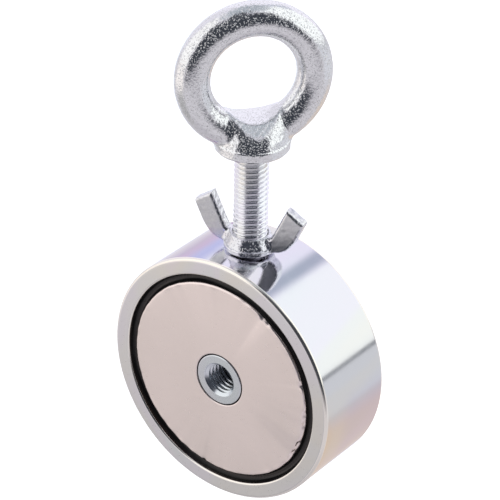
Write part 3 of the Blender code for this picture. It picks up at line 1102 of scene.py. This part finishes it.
AIM = Vector((-0.0078, 0.0106, -0.0510))
LENS = 183.47  # millimetres
SENSOR = 36.0
FLOOR_SIZE = 3.0
BACKDROP_RADIUS = 4.0
PANELS = [
    # left, right, low and high edge in degrees, colour, width of the soft edge in degrees
    (0.0, 360.0, -95.0, 95.0, (0.80, 0.78, 0.85), 1.0),
    (-122.0, -78.0, -4.0, 62.0, (0.84, 0.82, 0.90), 14.0),
    (-78.0, -14.0, -10.0, 58.0, (1.08, 1.07, 1.06), 14.0),
    (-200.0, -118.0, -4.0, 62.0, (1.00, 0.98, 1.08), 14.0),
    (90.0, 168.0, -4.0, 66.0, (1.12, 1.15, 1.14), 10.0),
    (0.0, 360.0, 64.0, 120.0, (0.46, 0.50, 0.55), 14.0),
    (170.0, 183.0, 30.0, 66.0, (0.50, 0.54, 0.64), 9.0),
    (0.0, 360.0, -120.0, -4.0, (0.66, 0.64, 0.68), 2.0),
    (0.0, 360.0, -120.0, -58.0, (0.55, 0.53, 0.57), 24.0),
    (100.0, 175.0, -30.0, -4.0, (0.72, 0.73, 0.78), 6.0),
    (135.0, 215.0, -52.0, -34.0, (0.76, 0.65, 0.57), 14.0),
    (-160.0, -105.0, -40.0, -3.0, (0.94, 0.97, 1.05), 10.0),
    (-78.0, -20.0, -60.0, -30.0, (0.44, 0.435, 0.44), 8.0),
    (-78.0, -20.0, -29.5, -4.0, (1.05, 0.995, 0.965), 10.0),
    (-10.0, 84.0, -22.0, -8.0, (0.34, 0.33, 0.36), 10.0),
    (-10.0, 89.0, -14.0, 54.0, (0.050, 0.055, 0.068), 10.0),
    (8.0, 58.0, 40.0, 80.0, (0.09, 0.095, 0.11), 14.0),
    (95.0, 180.0, -5.7, -2.9, (0.32, 0.33, 0.36), 1.4),
]


def light_the_surroundings():
    world = bpy.data.worlds.new("studio")
    bpy.context.scene.world = world
    sky = Sky(world)
    for panel in PANELS:
        sky.panel(*panel)
    sky.join(sky.tree.nodes["Background"], {"Color": sky.light, "Strength": 1.0})


def build_stage(settings):
    """Floor and backdrop are seen by the camera alone: the surroundings light the magnet."""
    light_the_surroundings()
    floor_level = CAD_BOX[0][2] - settings.floor_drop
    bm = bmesh.new()
    bmesh.ops.create_grid(bm, x_segments=1, y_segments=1, size=FLOOR_SIZE)
    bmesh.ops.translate(bm, verts=bm.verts, vec=(0.0, 0.0, floor_level))
    floor = scratch_object("floor", bm)
    paint = Nodes("floor_paint")
    shade = paint.noise(paint.place, 6.0, 2.0)
    base = paint.mixed(shade, tuple(settings.floor), shaded(settings.floor, 0.985))
    floor.data.materials.append(paint.finish(base, 0.8, None, 0.0))
    paint.glow(0.55)
    bm = bmesh.new()
    bmesh.ops.create_uvsphere(bm, u_segments=48, v_segments=24, radius=BACKDROP_RADIUS)
    bmesh.ops.reverse_faces(bm, faces=bm.faces)
    dome = scratch_object("backdrop", bm)
    sheet = Nodes("backdrop_paint")
    sheet.finish((0.0, 0.0, 0.0), 1.0, None, 0.0)
    sheet.glow(1.0)
    dome.data.materials.append(sheet.material)
    for item in (floor, dome):
        for ray in ("glossy", "diffuse", "shadow", "transmission"):
            setattr(item, f"visible_{ray}", False)
    place_camera(settings)
    bpy.context.scene.view_settings.view_transform = "Standard"


def place_camera(settings):
    """A long lens at the given angles, aimed a little behind the bolt, just under the pot's top."""
    a, e = settings.azimuth, settings.elevation
    back = Vector((math.sin(a) * math.cos(e), -math.cos(a) * math.cos(e), math.sin(e)))
    right = Vector((math.cos(a), math.sin(a), 0.0))
    up = back.cross(right)
    across = math.cos(settings.roll) * right + math.sin(settings.roll) * up
    upward = -math.sin(settings.roll) * right + math.cos(settings.roll) * up
    camera_data = bpy.data.cameras.new("camera")
    camera_data.lens = LENS
    camera_data.sensor_width = SENSOR
    camera_data.clip_end = 20.0
    camera = bpy.data.objects.new("camera", camera_data)
    bpy.context.scene.collection.objects.link(camera)
    basis = Matrix((across, upward, back)).transposed().to_4x4()
    camera.matrix_world = Matrix.Translation(AIM + back * settings.distance) @ basis
    bpy.context.scene.camera = camera


# Operators


class MAGNET_OT_pot(bpy.types.Operator):
    """Build the plated steel pot"""

    bl_idname = "magnet.pot"
    bl_label = "Build pot"

    def execute(self, context):
        build_pot(context.scene.magnet_pot)
        return {"FINISHED"}


class MAGNET_OT_magnets(bpy.types.Operator):
    """Build both ring magnets and the resin round them"""

    bl_idname = "magnet.magnets"
    bl_label = "Build magnets and resin"

    def execute(self, context):
        settings = context.scene.magnet_faces
        nickel = nickel_plate(settings)
        resin = potting_resin(settings)
        glue = hidden_glue(settings)
        for label, side in (("front", 1), ("rear", -1)):
            build_magnet(f"{label}_ring_magnet", f"{label}_magnet", side, settings, nickel)
            build_resin(
                f"{label}_resin",
                f"{label}_resin_ring",
                side,
                (MAGNET_RADIUS, RECESS),
                (settings.resin_sink, settings.resin_dip),
                resin,
            )
            build_resin(
                f"{label}_bush_line",
                f"{label}_bush_seal",
                side,
                (BUSH_RADIUS, BUSH_RADIUS + settings.hole_gap),
                (settings.line_sink, settings.line_dip),
                resin,
            )
            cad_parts[f"{label}_glue_bed"].material_slots[0].material = glue
        return {"FINISHED"}


class MAGNET_OT_bush(bpy.types.Operator):
    """Build the threaded centre bush"""

    bl_idname = "magnet.bush"
    bl_label = "Build bush"

    def execute(self, context):
        build_bush(context.scene.magnet_bush, context.scene.magnet_eye_bolt.pitch)
        return {"FINISHED"}


class MAGNET_OT_eye_bolt(bpy.types.Operator):
    """Build the forged eye and its threaded shank"""

    bl_idname = "magnet.eye_bolt"
    bl_label = "Build eye bolt"

    def execute(self, context):
        build_forging(context.scene.magnet_eye_bolt)
        build_shank(context.scene.magnet_eye_bolt)
        return {"FINISHED"}


class MAGNET_OT_wing_nut(bpy.types.Operator):
    """Build the wing nut"""

    bl_idname = "magnet.wing_nut"
    bl_label = "Build wing nut"

    def execute(self, context):
        build_nut(context.scene.magnet_wing_nut, context.scene.magnet_eye_bolt)
        return {"FINISHED"}


class MAGNET_OT_stage(bpy.types.Operator):
    """Set the floor, the backdrop, the light and the camera"""

    bl_idname = "magnet.stage"
    bl_label = "Set stage"

    def execute(self, context):
        build_stage(context.scene.magnet_stage)
        return {"FINISHED"}


class MAGNET_PT_finish(bpy.types.Panel):
    """Lists the builders of the finished magnet"""

    bl_idname = "MAGNET_PT_finish"
    bl_label = "Fishing magnet"
    bl_space_type = "VIEW_3D"
    bl_region_type = "UI"
    bl_category = "Magnet"

    def draw(self, context):
        for operator in OPERATORS:
            self.layout.operator(operator.bl_idname)
        for name in SETTINGS:
            column = self.layout.column(align=True)
            group = getattr(context.scene, name)
            for key in group.__annotations__:
                column.prop(group, key)


OPERATORS = (
    MAGNET_OT_pot,
    MAGNET_OT_magnets,
    MAGNET_OT_bush,
    MAGNET_OT_eye_bolt,
    MAGNET_OT_wing_nut,
    MAGNET_OT_stage,
)


def register():
    for name, group in SETTINGS.items():
        bpy.utils.register_class(group)
        setattr(bpy.types.Scene, name, PointerProperty(type=group))
    for operator in OPERATORS:
        bpy.utils.register_class(operator)
    bpy.utils.register_class(MAGNET_PT_finish)


def unregister():
    bpy.utils.unregister_class(MAGNET_PT_finish)
    for operator in reversed(OPERATORS):
        bpy.utils.unregister_class(operator)
    for name, group in SETTINGS.items():
        delattr(bpy.types.Scene, name)
        bpy.utils.unregister_class(group)


def main():
    register()
    bpy.ops.magnet.pot()
    bpy.ops.magnet.magnets()
    bpy.ops.magnet.bush()
    bpy.ops.magnet.eye_bolt()
    bpy.ops.magnet.wing_nut()
    bpy.ops.magnet.stage()


if __name__ == "__main__":
    main()
